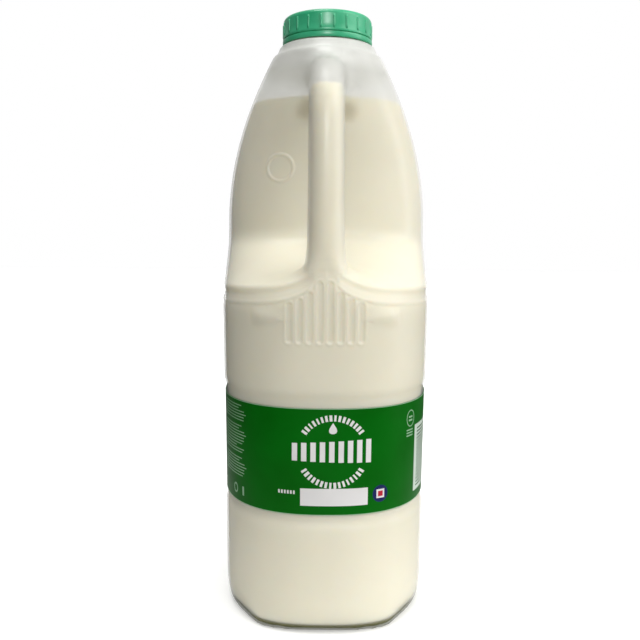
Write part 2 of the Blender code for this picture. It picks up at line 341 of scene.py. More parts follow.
def handle_field(p, line):
    """Signed distance, near enough, to the handle."""
    out = np.full(len(p), 40.0)
    near = np.where((np.abs(p[:, 0]) < 32.0) & (p[:, 1] < 6.0) & (p[:, 2] > 132.0))[0]
    along = directions(line[:, :2])
    for some in np.array_split(near, max(1, len(near) // 20000)):
        q = np.column_stack([-p[some, 1], p[some, 2]])
        gap = ((q[:, None, :] - line[None, :, :2]) ** 2).sum(2)
        k = gap.argmin(1)
        away = q - line[k, :2]
        across = away[:, 0] * along[k, 1] - away[:, 1] * along[k, 0]
        beyond = np.abs((away * along[k]).sum(1))
        power = line[k, 4]
        aside = np.abs(p[some, 0] / line[k, 2])
        around = (aside ** power + np.abs(across / line[k, 3]) ** power) ** (1.0 / power)
        inside = (around - 1.0) * line[k, 2:4].min(1)
        out[some] = np.where(beyond > 1.0, np.maximum(inside, beyond), inside)
    return out


def flute_relief(p):
    """Grooves with a fine raised lip, pressed into the front wall."""
    x, y, z = p[:, 0], p[:, 1], p[:, 2]
    relief = np.zeros(len(p))
    near = np.where((np.abs(x) < 22.0) & (y < -40.0) & (z > 126.0) & (z < 166.0))[0]
    if not len(near):
        return relief
    x, z = x[near], z[near]
    lip = np.zeros(len(near))
    groove = np.zeros(len(near))
    for i in range(FLUTE_COUNT):
        middle = (i - 0.5 * (FLUTE_COUNT - 1)) * FLUTE_PITCH
        top = FLUTE_TOP_Z + float(arch(middle, -HALF_DEPTH))
        end = np.clip(z, FLUTE_BOTTOM_Z + FLUTE_HALF_WIDTH, top - FLUTE_HALF_WIDTH)
        edge = np.hypot(x - middle, z - end) - FLUTE_HALF_WIDTH
        groove = np.maximum(groove, smooth(0.5 - edge / 1.1))
        lip = np.maximum(lip, np.exp(-((edge - 0.95) / 0.5) ** 2))
    relief[near] = FLUTE_LIP * lip - FLUTE_DEPTH * groove
    return relief


def ring_relief(p):
    """A raised ring on the recess wall."""
    x, y, z = p[:, 0], p[:, 1], p[:, 2]
    edge = np.abs(np.hypot(x - MOULD_RING_X, z - MOULD_RING_Z) - MOULD_RING_RADIUS)
    return np.where(y < 8.0, MOULD_RING_HEIGHT * smooth(1.0 - edge / MOULD_RING_HALF_WIDTH), 0.0)


def rim_relief(p):
    """A fine bead along the rim, below the chamfer."""
    x, y, z = p[:, 0], p[:, 1], p[:, 2]
    bead_z = RIM_Z + arch(x, y)
    bead = 0.5 * np.exp(-((z - bead_z) / 0.9) ** 2)
    cove = 0.5 * np.exp(-((z - bead_z - 3.6) / 1.7) ** 2) * smooth((10.0 - y) / 20.0)
    return (bead - cove) * smooth((np.abs(x) - 4.0) / 4.0 + (y > 0.0))


def collar_relief(p):
    """The fine ledge under the collar."""
    z = p[:, 2]
    ledge = 0.25 * np.exp(-((z - COLLAR_Z - 0.4) / 0.8) ** 2)
    groove = 0.45 * np.exp(-((z - COLLAR_Z + 1.3) / 0.7) ** 2)
    return ledge - groove


def corner_cut(p):
    """Distance past the slanted facets that take off the heel's corners."""
    across = CORNER_ACROSS * np.abs(p[:, 0]) + CORNER_ALONG * np.abs(p[:, 1])
    return (across - CORNER_REACH - CORNER_RISE * p[:, 2]) / math.hypot(1.0, CORNER_RISE)


def bottle_field(p, profile, line, relief=True):
    """The whole outside: body and handle run together in a fillet, closed at base and mouth."""
    body = body_field(p, profile)
    cut = corner_cut(p)
    soft = np.clip(0.5 - 0.5 * (cut - body) / CORNER_SOFTNESS, 0.0, 1.0)
    body = cut * (1.0 - soft) + body * soft + CORNER_SOFTNESS * soft * (1.0 - soft)
    handle = handle_field(p, line)
    fillet = ROOT_FILLET * (0.08 + 0.92 * smooth((p[:, 1] + HALF_DEPTH - 0.6) / 7.0))
    h = np.clip(0.5 + 0.5 * (handle - body) / fillet, 0.0, 1.0)
    value = handle * (1.0 - h) + body * h - fillet * h * (1.0 - h)
    if relief:
        value = value - flute_relief(p) - ring_relief(p) - rim_relief(p) - collar_relief(p)
    return value


def slope(p, field):
    """Gradient of a field, by differences."""
    tiny = 0.05
    parts = []
    for axis in range(3):
        move = np.zeros(3)
        move[axis] = tiny
        parts.append((field(p + move) - field(p - move)) / (2.0 * tiny))
    return np.column_stack(parts)


def settle(p, field, level, rounds=5):
    """Move points onto the surface where the field has this level."""
    p = p.copy()
    for _ in range(rounds):
        grade = slope(p, field)
        size = np.maximum((grade ** 2).sum(1), 0.04)
        move = -((field(p) - level) / size)[:, None] * grade
        far = np.linalg.norm(move, axis=1)
        move *= np.minimum(1.0, 1.2 / np.maximum(far, 1e-9))[:, None]
        p += move
    return p


def rounded(turn, power):
    """Both parts of a rounded square's outline at these angles, from -1 to 1."""
    c, s = np.cos(turn), np.sin(turn)
    return np.sign(c) * np.abs(c) ** (2.0 / power), np.sign(s) * np.abs(s) ** (2.0 / power)


def full_turn(count):
    """Angles evenly spaced round a circle."""
    return 2.0 * math.pi * np.arange(count) / count


def ring_points(row, count):
    """Points round one level of a profile."""
    z, half, front, back, centre, power = row
    across, along = rounded(full_turn(count), power)
    reach = np.where(along > 0.0, back - centre, front + centre)
    return np.column_stack([half * across, centre + reach * along, np.full(count, z)])


def lofted(rings):
    """Vertices and faces of a closed tube through rings of equal length."""
    count = len(rings[0])
    verts = np.vstack(rings)
    faces = []
    for k in range(len(rings) - 1):
        for i in range(count):
            j = (i + 1) % count
            faces.append((k * count + i, k * count + j, (k + 1) * count + j, (k + 1) * count + i))
    faces.append(tuple(reversed(range(count))))
    faces.append(tuple(range(len(verts) - count, len(verts))))
    return verts, faces


def new_object(name, verts, faces):
    """An object from millimetre points."""
    mesh = bpy.data.meshes.new(name)
    mesh.from_pydata((np.asarray(verts) * MM).tolist(), [], faces)
    mesh.update()
    made = bpy.data.objects.new(name, mesh)
    bpy.context.scene.collection.objects.link(made)
    return made


def points_of(mesh):
    """A mesh's points in millimetres."""
    flat = np.empty(3 * len(mesh.vertices), dtype=np.float32)
    mesh.vertices.foreach_get("co", flat)
    return flat.reshape(-1, 3).astype(float) / MM


def set_points(mesh, p):
    """Write points in millimetres back to a mesh."""
    mesh.vertices.foreach_set("co", (p * MM).astype(np.float32).ravel())
    mesh.update()


def face_outward(mesh):
    """Turn every face of a closed mesh outward."""
    bm = bmesh.new()
    bm.from_mesh(mesh)
    bmesh.ops.recalc_face_normals(bm, faces=bm.faces)
    bm.to_mesh(mesh)
    bm.free()


def keep_result(made):
    """Turn an object's modifiers into plain mesh, and drop them."""
    mesh = bpy.data.meshes.new_from_object(made.evaluated_get(bpy.context.evaluated_depsgraph_get()))
    mesh.name = made.name
    made.modifiers.clear()
    made.data = mesh


def rough_form(name, top_z, voxel):
    """A voxel mesh of body and handle, close to their surface."""
    profile = body_profile(top_z)
    line = handle_line()
    heights = np.concatenate([[0.0], np.arange(1.5, top_z, 1.5), [top_z]])
    sizes = [np.interp(heights, profile[:, 0], profile[:, k]) for k in range(1, 6)]
    rows = np.column_stack([heights] + sizes)
    body = lofted([ring_points(row, 96) for row in rows])
    along = directions(line[:, :2])
    across, outward = rounded(full_turn(32), HANDLE_SQUARENESS)
    rings = []
    for (forward, z, half, depth, _), (du, dv) in zip(line[::4], along[::4]):
        out = depth * outward
        rings.append(np.column_stack([half * across, -(forward + out * dv), z - out * du]))
    handle = lofted(rings)
    shift = len(body[0])
    faces = body[1] + [tuple(reversed([i + shift for i in face])) for face in handle[1]]
    made = new_object(name, np.vstack([body[0], handle[0]]), faces)
    face_outward(made.data)
    remesh = made.modifiers.new("voxels", "REMESH")
    remesh.mode = "VOXEL"
    remesh.voxel_size = voxel * MM
    keep_result(made)
    return made, profile, line


def flat_ends(p, top_z, inset):
    """Keep the base on the table, the mouth at its height, and front and back inside the solids."""
    low = p[:, 2] < 0.35 + inset
    p[low, 2] = inset
    high = p[:, 2] > top_z - inset - 0.35
    p[high, 2] = top_z - inset
    p[:, 1] = np.clip(p[:, 1], -DEPTH_REACH, DEPTH_REACH)
    return p


def relax(mesh, p, rounds):
    """Even out the points' spacing along the surface."""
    pairs = np.empty(2 * len(mesh.edges), dtype=np.int32)
    mesh.edges.foreach_get("vertices", pairs)
    pairs = pairs.reshape(-1, 2)
    count = np.bincount(pairs.ravel(), minlength=len(p)).astype(float)[:, None]
    for _ in range(rounds):
        total = np.zeros_like(p)
        np.add.at(total, pairs[:, 0], p[pairs[:, 1]])
        np.add.at(total, pairs[:, 1], p[pairs[:, 0]])
        p = 0.5 * p + 0.5 * total / count
    return p


def closed_field(profile, line, top_z, relief):
    """The bottle field with its pushed-up base and its mouth plane."""
    def field(p):
        value = bottle_field(p, profile, line, relief)
        base_z = PUSH_UP * smooth((-value - STANDING_BAND) / PUSH_UP_SLOPE)
        value = np.maximum(value, base_z - p[:, 2])
        return np.maximum(value, p[:, 2] - top_z)
    return field


def divide(mesh, chosen):
    """Split the edges between chosen points once."""
    bm = bmesh.new()
    bm.from_mesh(mesh)
    bm.verts.ensure_lookup_table()
    edges = [e for e in bm.edges if chosen[e.verts[0].index] and chosen[e.verts[1].index]]
    bmesh.ops.subdivide_edges(bm, edges=edges, cuts=1, use_grid_fill=True)
    bm.to_mesh(mesh)
    bm.free()


def pressed_parts(p, margin):
    """Which points lie on the flutes or on the mould ring, with this margin round them."""
    x, y, z = p[:, 0], p[:, 1], p[:, 2]
    flutes = (np.abs(x) < 20.5 + 0.5 * margin) & (y < -44.0) & (z > 129.5 - margin) & (z < 161.0 + margin)
    ring = (np.abs(x - MOULD_RING_X) < 8.0 + margin) & (np.abs(z - MOULD_RING_Z) < 8.0 + margin) & (y < 8.0)
    return flutes | ring


def skin_outside():
    """The outer surface, fine where it has relief."""
    made, profile, line = rough_form("skin_outside", NECK_TOP_Z, SKIN_VOXEL)
    mesh = made.data
    plain = closed_field(profile, line, NECK_TOP_Z, False)
    full = closed_field(profile, line, NECK_TOP_Z, True)
    p = settle(points_of(mesh), plain, 0.0)
    p = settle(relax(mesh, p, 3), plain, 0.0, 3)
    set_points(mesh, p)
    rim_z = RIM_Z + arch(p[:, 0], p[:, 1])
    rim = (p[:, 2] > rim_z - 3.0) & (p[:, 2] < rim_z + np.where(p[:, 1] < 25.0, 10.5, 4.0))
    collar = (p[:, 2] > SHOULDER_END_Z - 1.5) & (p[:, 2] < COLLAR_TOP_Z + 2.0)
    divide(mesh, pressed_parts(p, 1.0) | rim | collar)
    divide(mesh, pressed_parts(points_of(mesh), 0.0))
    p = settle(relax(mesh, points_of(mesh), 1), full, 0.0, 5)
    set_points(mesh, flat_ends(p, NECK_TOP_Z, 0.0))
    return made


def inner_form(name, inset, top_z, voxel):
    """A plain surface at this depth inside the skin."""
    made, profile, line = rough_form(name, top_z, voxel)
    field = closed_field(profile, line, top_z, False)
    p = settle(points_of(made.data), field, -inset, 7)
    p = settle(relax(made.data, p, 2), field, -inset, 3)
    set_points(made.data, p)
    return made


def cut_from(made, other, solver):
    """Take one closed mesh out of another."""
    cut = made.modifiers.new("cut", "BOOLEAN")
    cut.operation = "DIFFERENCE"
    cut.solver = solver
    cut.object = other
    keep_result(made)
    bpy.data.objects.remove(other, do_unlink=True)


def finish_piece(made, name, finish, nodes=()):
    """Name, smooth and dress a piece, and tie it to the frame."""
    made.name = name
    made.data.name = name
    made.data.materials.clear()
    made.data.materials.append(finish)
    for polygon in made.data.polygons:
        polygon.material_index = 0
    made.data.shade_smooth()
    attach(made, "root")
    if nodes:
        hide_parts(*nodes)
    return made


def linear(hex_colour):
    """Linear colour of an sRGB hex value."""
    parts = [int(hex_colour[i:i + 2], 16) / 255.0 for i in (1, 3, 5)]
    return (*[c / 12.92 if c <= 0.04045 else ((c + 0.055) / 1.055) ** 2.4 for c in parts], 1.0)


def add_node(tree, kind, inputs=None, **settings):
    """Add a node with its settings and inputs; a socket given as an input is linked."""
    made = tree.nodes.new(kind)
    for name, value in settings.items():
        setattr(made, name, value)
    for name, value in (inputs or {}).items():
        if isinstance(value, bpy.types.NodeSocket):
            tree.links.new(value, made.inputs[name])
        else:
            made.inputs[name].default_value = value
    return made


def new_finish(name, **shader_values):
    """An empty Principled finish and the places to work from: its tree, shader and Object coordinates."""
    made = bpy.data.materials.new(name)
    made.use_nodes = True
    tree = made.node_tree
    tree.nodes.clear()
    out = tree.nodes.new("ShaderNodeOutputMaterial")
    shader = add_node(tree, "ShaderNodeBsdfPrincipled", shader_values)
    tree.links.new(shader.outputs["BSDF"], out.inputs["Surface"])
    place = tree.nodes.new("ShaderNodeTexCoord").outputs["Object"]
    return made, tree, shader, place


def tone_between(tree, factor, dark, light, low=0.3, high=0.7):
    """Colours from dark to light as the factor goes from low to high."""
    ramp = add_node(tree, "ShaderNodeValToRGB", {"Fac": factor})
    ramp.color_ramp.elements[0].position = low
    ramp.color_ramp.elements[0].color = linear(dark)
    ramp.color_ramp.elements[1].position = high
    ramp.color_ramp.elements[1].color = linear(light)
    return ramp.outputs["Color"]


def roughness_between(tree, factor, low, high):
    """Roughness that follows a pattern."""
    ranged = add_node(tree, "ShaderNodeMapRange", {"Value": factor, "To Min": low, "To Max": high})
    return ranged.outputs["Result"]


def pattern(tree, place, scale, detail):
    """Factor of a soft pattern with this many cells a metre."""
    inputs = {"Vector": place, "Scale": scale, "Detail": detail}
    return add_node(tree, "ShaderNodeTexNoise", inputs).outputs["Fac"]


def fine_relief(tree, height, strength, depth):
    """Normals of a fine relief that follows a pattern, with its depth in millimetres."""
    inputs = {"Height": height, "Strength": strength, "Distance": depth * MM}
    return add_node(tree, "ShaderNodeBump", inputs).outputs["Normal"]


def eased(tree, value, start, end, low=0.0, high=1.0):
    """Ease from low to high between two lengths in millimetres."""
    inputs = {"Value": value, "From Min": start * MM, "From Max": end * MM, "To Min": low, "To Max": high}
    return add_node(tree, "ShaderNodeMapRange", inputs, interpolation_type="SMOOTHSTEP").outputs["Result"]


def tinted(tree, colour, tint, share):
    """A colour multiplied by a tint that fades out as the share goes from 0 to 1."""
    fading = {"Factor": share, 6: linear(tint), 7: linear("#FFFFFF")}
    fading = add_node(tree, "ShaderNodeMix", fading, data_type="RGBA").outputs[2]
    both = {"Factor": 1.0, 6: colour, 7: fading}
    return add_node(tree, "ShaderNodeMix", both, data_type="RGBA", blend_type="MULTIPLY").outputs[2]


def height_of(tree, place):
    """Height of the shaded point."""
    return add_node(tree, "ShaderNodeSeparateXYZ", {"Vector": place}).outputs["Z"]


def feed(tree, shader, sources):
    """Link each source to the shader's input of that name."""
    for name, source in sources.items():
        tree.links.new(source, shader.inputs[name])


def painted_heel_shade(tree, place, colour):
    """Dim and tint a colour at the very heel: painted shade where the heel turns under towards the floor."""
    return tinted(tree, colour, HEEL_SHADE_TINT, eased(tree, height_of(tree, place), *HEEL_SHADE_FADE))


def blown_natural_polyethylene():
    """HDPE, blown in a mould and left uncoloured: satin, faintly waxy and translucent, thicker and whiter
    at the collar, with a soft orange peel a few millimetres across that breaks up its highlights."""
    made, tree, shader, place = new_finish("blown_natural_polyethylene", **{"IOR": 1.54})
    cloud = pattern(tree, place, 28.0, 3.0)
    peel = pattern(tree, place, 320.0, 2.0)
    # The base colour carries painted shade at the heel, where the wall turns under.
    feed(tree, shader, {
        "Alpha": eased(tree, height_of(tree, place), *COVER_RISE, *COVER),
        "Base Color": painted_heel_shade(tree, place, tone_between(tree, cloud, "#F5F5F0", "#FBFBF7")),
        "Roughness": roughness_between(tree, cloud, 0.30, 0.42),
        "Normal": fine_relief(tree, peel, 0.12, 0.4)})
    return made


def painted_pinch_shade(tree, place, colour):
    """Tint a colour in the two pinches beside the handle's upper root: painted shade where the root's
    underside turns down into the recess wall."""
    parts = add_node(tree, "ShaderNodeSeparateXYZ", {"Vector": place}).outputs
    aside = add_node(tree, "ShaderNodeMath", {0: parts["X"]}, operation="ABSOLUTE").outputs["Value"]
    halved = add_node(tree, "ShaderNodeMath", {0: parts["Y"], 1: 0.5}, operation="MULTIPLY").outputs["Value"]
    here = add_node(tree, "ShaderNodeCombineXYZ", {"X": aside, "Y": halved, "Z": parts["Z"]})
    middle = [n * MM for n in PINCH]
    away = add_node(tree, "ShaderNodeVectorMath", {
        0: here.outputs["Vector"], 1: middle}, operation="DISTANCE")
    return tinted(tree, colour, PINCH_SHADE_TINT, eased(tree, away.outputs["Value"], *PINCH_SHADE_FADE))


def semi_skimmed_milk():
    """Milk seen through the wall: opaque warm white, smooth, with light spreading a little inside it."""
    made, tree, shader, place = new_finish("semi_skimmed_milk", **{
        "IOR": 1.35, "Subsurface Weight": 0.6, "Subsurface Scale": 0.008})
    shader.inputs["Subsurface Radius"].default_value = (1.0, 0.8, 0.55)
    cloud = pattern(tree, place, 14.0, 2.0)
    # Painted shade at the heel darkens the milk's colour there.
    colour = painted_heel_shade(tree, place, tone_between(tree, cloud, "#F0E8CB", "#F4EDD3"))
    # The milk's colour carries painted shade in the creases beside the handle's upper root.
    feed(tree, shader, {
        "Base Color": painted_pinch_shade(tree, place, colour),
        "Roughness": roughness_between(tree, cloud, 0.25, 0.35)})
    return made


def moulded_green_polyethylene():
    """PE, injection moulded in green: satin, slightly waxy, a shade lighter where it is worn."""
    made, tree, shader, place = new_finish("moulded_green_polyethylene", **{"IOR": 1.52})
    cloud = pattern(tree, place, 60.0, 3.0)
    grain = pattern(tree, place, 900.0, 1.0)
    feed(tree, shader, {
        "Base Color": tone_between(tree, cloud, "#32AC7A", "#48BF8D"),
        "Roughness": roughness_between(tree, cloud, 0.28, 0.38),
        "Normal": fine_relief(tree, grain, 0.08, 0.2)})
    return made


def printed_film(name, dark, light):
    """PP label film, printed and varnished: an even ink colour with a faint mottle and a soft gloss."""
    made, tree, shader, place = new_finish(name, **{"IOR": 1.49, "Specular IOR Level": 0.13})
    cloud = pattern(tree, place, 45.0, 3.0)
    mottle = pattern(tree, place, 700.0, 1.0)
    feed(tree, shader, {
        "Base Color": tone_between(tree, cloud, dark, light),
        "Roughness": roughness_between(tree, mottle, 0.28, 0.38),
        "Normal": fine_relief(tree, cloud, 0.06, 0.6)})
    return made


def make_bottle_skin():
    """The blown shell: its outside less its inside."""
    outside = skin_outside()
    inside = inner_form("skin_inside", WALL, NECK_TOP_Z + 12.0, INSIDE_VOXEL)
    cut_from(outside, inside, "MANIFOLD")
    return finish_piece(outside, "bottle_skin", blown_natural_polyethylene(), ["bottle"])


def make_milk():
    """Milk that reaches just into the wall, cut flat at its level."""
    milk = inner_form("milk_fill", MILK_INSET, NECK_TOP_Z, MILK_VOXEL)
    bm = bmesh.new()
    bm.from_mesh(milk.data)
    everything = list(bm.verts) + list(bm.edges) + list(bm.faces)
    bmesh.ops.bisect_plane(bm, geom=everything, dist=1e-6, plane_co=(0.0, 0.0, MILK_LEVEL_Z * MM),
                           plane_no=(0.0, 0.0, 1.0), clear_outer=True)
    rim = [e for e in bm.edges if e.is_boundary]
    bmesh.ops.holes_fill(bm, edges=rim, sides=0)
    bmesh.ops.triangulate(bm, faces=[f for f in bm.faces if len(f.verts) > 4])
    bmesh.ops.recalc_face_normals(bm, faces=bm.faces)
    bm.to_mesh(milk.data)
    bm.free()
    return finish_piece(milk, "milk_fill", semi_skimmed_milk(), ["milk"])


def cap_profile():
    """Half section of the cap from the middle of its top round to the middle of its ceiling."""
    side = CAP_RADIUS - 0.35
    points = [(0.0, CAP_TOP_Z - 0.35), (12.5, CAP_TOP_Z - 0.35), (13.0, CAP_TOP_Z - 0.3),
              (13.5, CAP_TOP_Z - 0.02), (15.5, CAP_TOP_Z), (side - CAP_EDGE, CAP_TOP_Z)]
    for angle in range(9, 91, 9):
        turn = math.radians(angle)
        points.append((side - CAP_EDGE * (1.0 - math.sin(turn)),
                       CAP_TOP_Z - CAP_EDGE * (1.0 - math.cos(turn))))
    band_top = CAP_BOTTOM_Z + 2.6
    points += [
        (side, CAP_TOP_Z - 6.0), (side + 0.05, band_top + 1.6), (side + 0.2, band_top + 1.2),
        (side + 0.22, band_top + 0.35), (side + 0.1, band_top + 0.12), (side - 0.45, band_top),
        (side - 0.45, band_top - 0.2), (side + 0.25, band_top - 0.4), (side + 0.32, band_top - 0.7),
        (side + 0.33, CAP_BOTTOM_Z + 0.5), (side + 0.2, CAP_BOTTOM_Z + 0.12), (side - 0.1, CAP_BOTTOM_Z),
        (CAP_RADIUS - CAP_WALL, CAP_BOTTOM_Z), (CAP_RADIUS - CAP_WALL, NECK_TOP_Z + 0.3),
        (0.0, NECK_TOP_Z + 0.3),
    ]
    return points


def make_cap(finish):
    """The turned cap, closed at both poles."""
    count = 144
    turn = full_turn(count)
    profile = cap_profile()
    verts = [(0.0, 0.0, profile[0][1])]
    for r, z in profile[1:-1]:
        verts += np.column_stack([r * np.cos(turn), r * np.sin(turn), np.full(count, z)]).tolist()
    verts.append((0.0, 0.0, profile[-1][1]))
    faces = []
    rings = len(profile) - 2
    for i in range(count):
        j = (i + 1) % count
        faces.append((0, 1 + i, 1 + j))
        for k in range(rings - 1):
            a, b = 1 + k * count, 1 + (k + 1) * count
            faces.append((a + i, b + i, b + j, a + j))
        faces.append((1 + (rings - 1) * count + i, len(verts) - 1, 1 + (rings - 1) * count + j))
    cap = new_object("cap_shell", verts, faces)
    face_outward(cap.data)
    finish_piece(cap, "cap_shell", finish, ["cap"])
    cap.data.set_sharp_from_angle(angle=math.radians(50.0))
    return cap


def new_tree(name, whole_numbers, lengths):
    """An empty geometry tree with named inputs; gives the tree and its group input."""
    tree = bpy.data.node_groups.new(name, "GeometryNodeTree")
    tree.interface.new_socket("Geometry", in_out="INPUT", socket_type="NodeSocketGeometry")
    for each in whole_numbers:
        tree.interface.new_socket(each, in_out="INPUT", socket_type="NodeSocketInt")
    for each in lengths:
        tree.interface.new_socket(each, in_out="INPUT", socket_type="NodeSocketFloat")
    tree.interface.new_socket("Geometry", in_out="OUTPUT", socket_type="NodeSocketGeometry")
    return tree, tree.nodes.new("NodeGroupInput").outputs


def end_tree(tree, instances, finish, offset=None):
    """Realize the instances, move and dress them, and give them out."""
    geometry = add_node(tree, "GeometryNodeRealizeInstances", {"Geometry": instances}).outputs["Geometry"]
    if offset is not None:
        geometry = add_node(tree, "GeometryNodeSetPosition", {
            "Geometry": geometry, "Offset": offset}).outputs["Geometry"]
    geometry = add_node(tree, "GeometryNodeSetMaterial", {
        "Geometry": geometry, "Material": finish}).outputs["Geometry"]
    out = tree.nodes.new("NodeGroupOutput")
    tree.links.new(geometry, out.inputs["Geometry"])


def ribs_tree(finish):
    """Geometry nodes: one rib stood at each point of a circle."""
    tree, given = new_tree("cap_ribs", ["Count"], [
        "Radius", "Rib Width", "Rib Depth", "Rib Height", "Middle Height"])
    circle = add_node(tree, "GeometryNodeMeshCircle", {
        "Vertices": given["Count"], "Radius": given["Radius"]})
    size = add_node(tree, "ShaderNodeCombineXYZ", {"X": given["Rib Depth"], "Y": given["Rib Width"],
                                                    "Z": given["Rib Height"]})
    rib = add_node(tree, "GeometryNodeMeshCube", {"Size": size.outputs["Vector"], "Vertices X": 2,
                                                  "Vertices Y": 3, "Vertices Z": 6})
    place = tree.nodes.new("GeometryNodeInputPosition")
    turn = add_node(tree, "FunctionNodeAlignRotationToVector", {
        "Vector": place.outputs["Position"]}, axis="X")
    stood = add_node(tree, "GeometryNodeInstanceOnPoints", {
        "Points": circle.outputs["Mesh"], "Instance": rib.outputs["Mesh"],
        "Rotation": turn.outputs["Rotation"]})
    height = add_node(tree, "ShaderNodeCombineXYZ", {"Z": given["Middle Height"]})
    end_tree(tree, stood.outputs["Instances"], finish, height.outputs["Vector"])
    return tree


def grown(name, tree, values):
    """Run a geometry tree with its inputs set, and keep the result as plain mesh."""
    made = new_object(name, np.zeros((0, 3)), [])
    modifier = made.modifiers.new("tree", "NODES")
    modifier.node_group = tree
    for item in tree.interface.items_tree:
        if item.item_type == "SOCKET" and item.in_out == "INPUT" and item.name in values:
            modifier[item.identifier] = values[item.name]
    keep_result(made)
    return made


def make_cap_ribs(finish):
    """Fine upright grip ribs round the cap."""
    ribs = grown("cap_ribs", ribs_tree(finish), {
        "Count": 22, "Radius": (CAP_RADIUS - 0.4) * MM, "Rib Width": 0.9 * MM, "Rib Depth": 0.8 * MM,
        "Rib Height": 6.0 * MM, "Middle Height": (CAP_TOP_Z - CAP_EDGE - 3.4) * MM})
    return finish_piece(ribs, "cap_ribs", finish)


def section_point(turn, outward, z):
    """Point on the label panel's plan at this angle parameter, lifted off the wall."""
    inward = PANEL_STEP + taper(z) - outward
    across, along = rounded(turn, BODY_SQUARENESS)
    return (HALF_WIDTH - inward) * across, (HALF_DEPTH - inward) * along


class Sleeve:
    """Turns distance round the label from its front and height into a place on the bottle."""

    def __init__(self):
        fine = 3600
        turns = -0.5 * math.pi + 2.0 * math.pi * np.arange(fine + 1) / fine
        self.points = np.array([section_point(t, 0.0, 79.0) for t in turns])
        steps = np.linalg.norm(np.diff(self.points, axis=0), axis=1)
        self.reach = np.concatenate([[0.0], np.cumsum(steps)])
        self.length = self.reach[-1]
        quarter = self.reach <= 0.25 * self.length
        self.front_x = self.points[quarter, 0]
        self.front_reach = self.reach[quarter]
        ahead = directions(self.points)
        self.normals = np.column_stack([ahead[:, 1], -ahead[:, 0]])

    def along(self, x):
        """Distance round the label of a point on its front, this far across."""
        return math.copysign(float(np.interp(abs(x), self.front_x, self.front_reach)), x)

    def place(self, s, z, lift):
        """Place of points at distance s to the right of the front, height z, lifted off the panel."""
        s = np.mod(np.asarray(s, dtype=float), self.length)
        z = np.asarray(z, dtype=float)
        x = np.interp(s, self.reach, self.points[:, 0])
        y = np.interp(s, self.reach, self.points[:, 1])
        nx = np.interp(s, self.reach, self.normals[:, 0])
        ny = np.interp(s, self.reach, self.normals[:, 1])
        out = lift + (taper(79.0) - taper(z))
        return np.column_stack([x + nx * out, y + ny * out, z + 0.0 * x])


def make_label(sleeve):
    """The film sleeve round the panel."""
    around, high = 420, 20
    s = sleeve.length * np.arange(around) / around
    verts = []
    for lift in (LABEL_LIFT, LABEL_LIFT + LABEL_THICKNESS):
        for k in range(high + 1):
            z = LABEL_BOTTOM_Z + (LABEL_TOP_Z - LABEL_BOTTOM_Z) * k / high
            verts.append(sleeve.place(s, np.full(around, z), lift))
    verts = np.vstack(verts)
    faces = []
    outer = (high + 1) * around
    for k in range(high):
        for i in range(around):
            j = (i + 1) % around
            a, b = k * around, (k + 1) * around
            faces.append((a + j, a + i, b + i, b + j))
            faces.append((outer + a + i, outer + a + j, outer + b + j, outer + b + i))
    top = high * around
    for i in range(around):
        j = (i + 1) % around
        faces.append((i, j, outer + j, outer + i))
        faces.append((top + j, top + i, outer + top + i, outer + top + j))
    label = new_object("label_sleeve", verts, faces)
    finish_piece(label, "label_sleeve", printed_film("varnished_green_print", "#005C05", "#00660A"),
                 ["label"])
    label.data.set_sharp_from_angle(angle=math.radians(50.0))
    return label


def rectangle(s0, s1, z0, z1):
    """A flat field as columns narrow enough to follow the label."""
    columns = max(1, math.ceil((s1 - s0) / 1.2))
    s = np.linspace(s0, s1, columns + 1)
    points = [(a, z) for a in s for z in (z0, z1)]
    return points, [(2 * i, 2 * i + 2, 2 * i + 3, 2 * i + 1) for i in range(columns)]


def square(s, z, half):
    """A square round its middle."""
    return rectangle(s - half, s + half, z - half, z + half)


def hoop(s, z, inner, outer, flatness=1.0):
    """A flat ring, or a disc where its inner radius is nought."""
    count = 48
    turn = full_turn(count)
    steps = max(1, math.ceil((outer - inner) / 1.2))
    radii = np.linspace(max(inner, 0.02), outer, steps + 1)
    points = [(s + r * math.cos(a), z + flatness * r * math.sin(a)) for r in radii for a in turn]
    faces = []
    for k in range(steps):
        for i in range(count):
            j = (i + 1) % count
            faces.append((k * count + i, (k + 1) * count + i, (k + 1) * count + j, k * count + j))
    if inner == 0.0:
        faces.append(tuple(range(count)))
    return points, faces


def drop(s, z, size):
    """A plain drop, round below and pointed above."""
    count = 24
    points = []
    for i in range(count):
        turn = 2.0 * math.pi * i / count
        points.append((s + size * math.sin(turn) * math.sin(0.5 * turn) ** 1.5, z + size * math.cos(turn)))
    return points, [tuple(reversed(range(count)))]


def flat_mesh(mesh):
    """Points and faces, in millimetres, of a flat mesh that a tree has grown."""
    p = points_of(mesh)
    return [(x, y) for x, y, _ in p], [tuple(polygon.vertices) for polygon in mesh.polygons]


def print_piece(name, sleeve, fields, finish, lift=PRINT_LIFT):
    """Thin closed ink fields, wrapped on the label."""
    verts, faces = [], []
    for points, field_faces in fields:
        flat = np.array(points, dtype=float)
        count, start = len(flat), len(verts)
        upper = sleeve.place(flat[:, 0], flat[:, 1], lift)
        lower = sleeve.place(flat[:, 0], flat[:, 1], lift - PRINT_DEPTH)
        verts += upper.tolist() + lower.tolist()
        edges = {}
        for face in field_faces:
            ring = [flat[i] for i in face]
            area = sum(a[0] * b[1] - b[0] * a[1] for a, b in zip(ring, ring[1:] + ring[:1]))
            face = face if area > 0.0 else tuple(reversed(face))
            faces.append(tuple(start + i for i in face))
            faces.append(tuple(start + count + i for i in reversed(face)))
            for a, b in zip(face, face[1:] + face[:1]):
                edges[(a, b)] = True
        for a, b in edges:
            if (b, a) not in edges:
                faces.append((start + b, start + a, start + count + a, start + count + b))
    made = new_object(name, verts, faces)
    finish_piece(made, name, finish)
    made.data.set_sharp_from_angle(angle=math.radians(40.0))
    return made


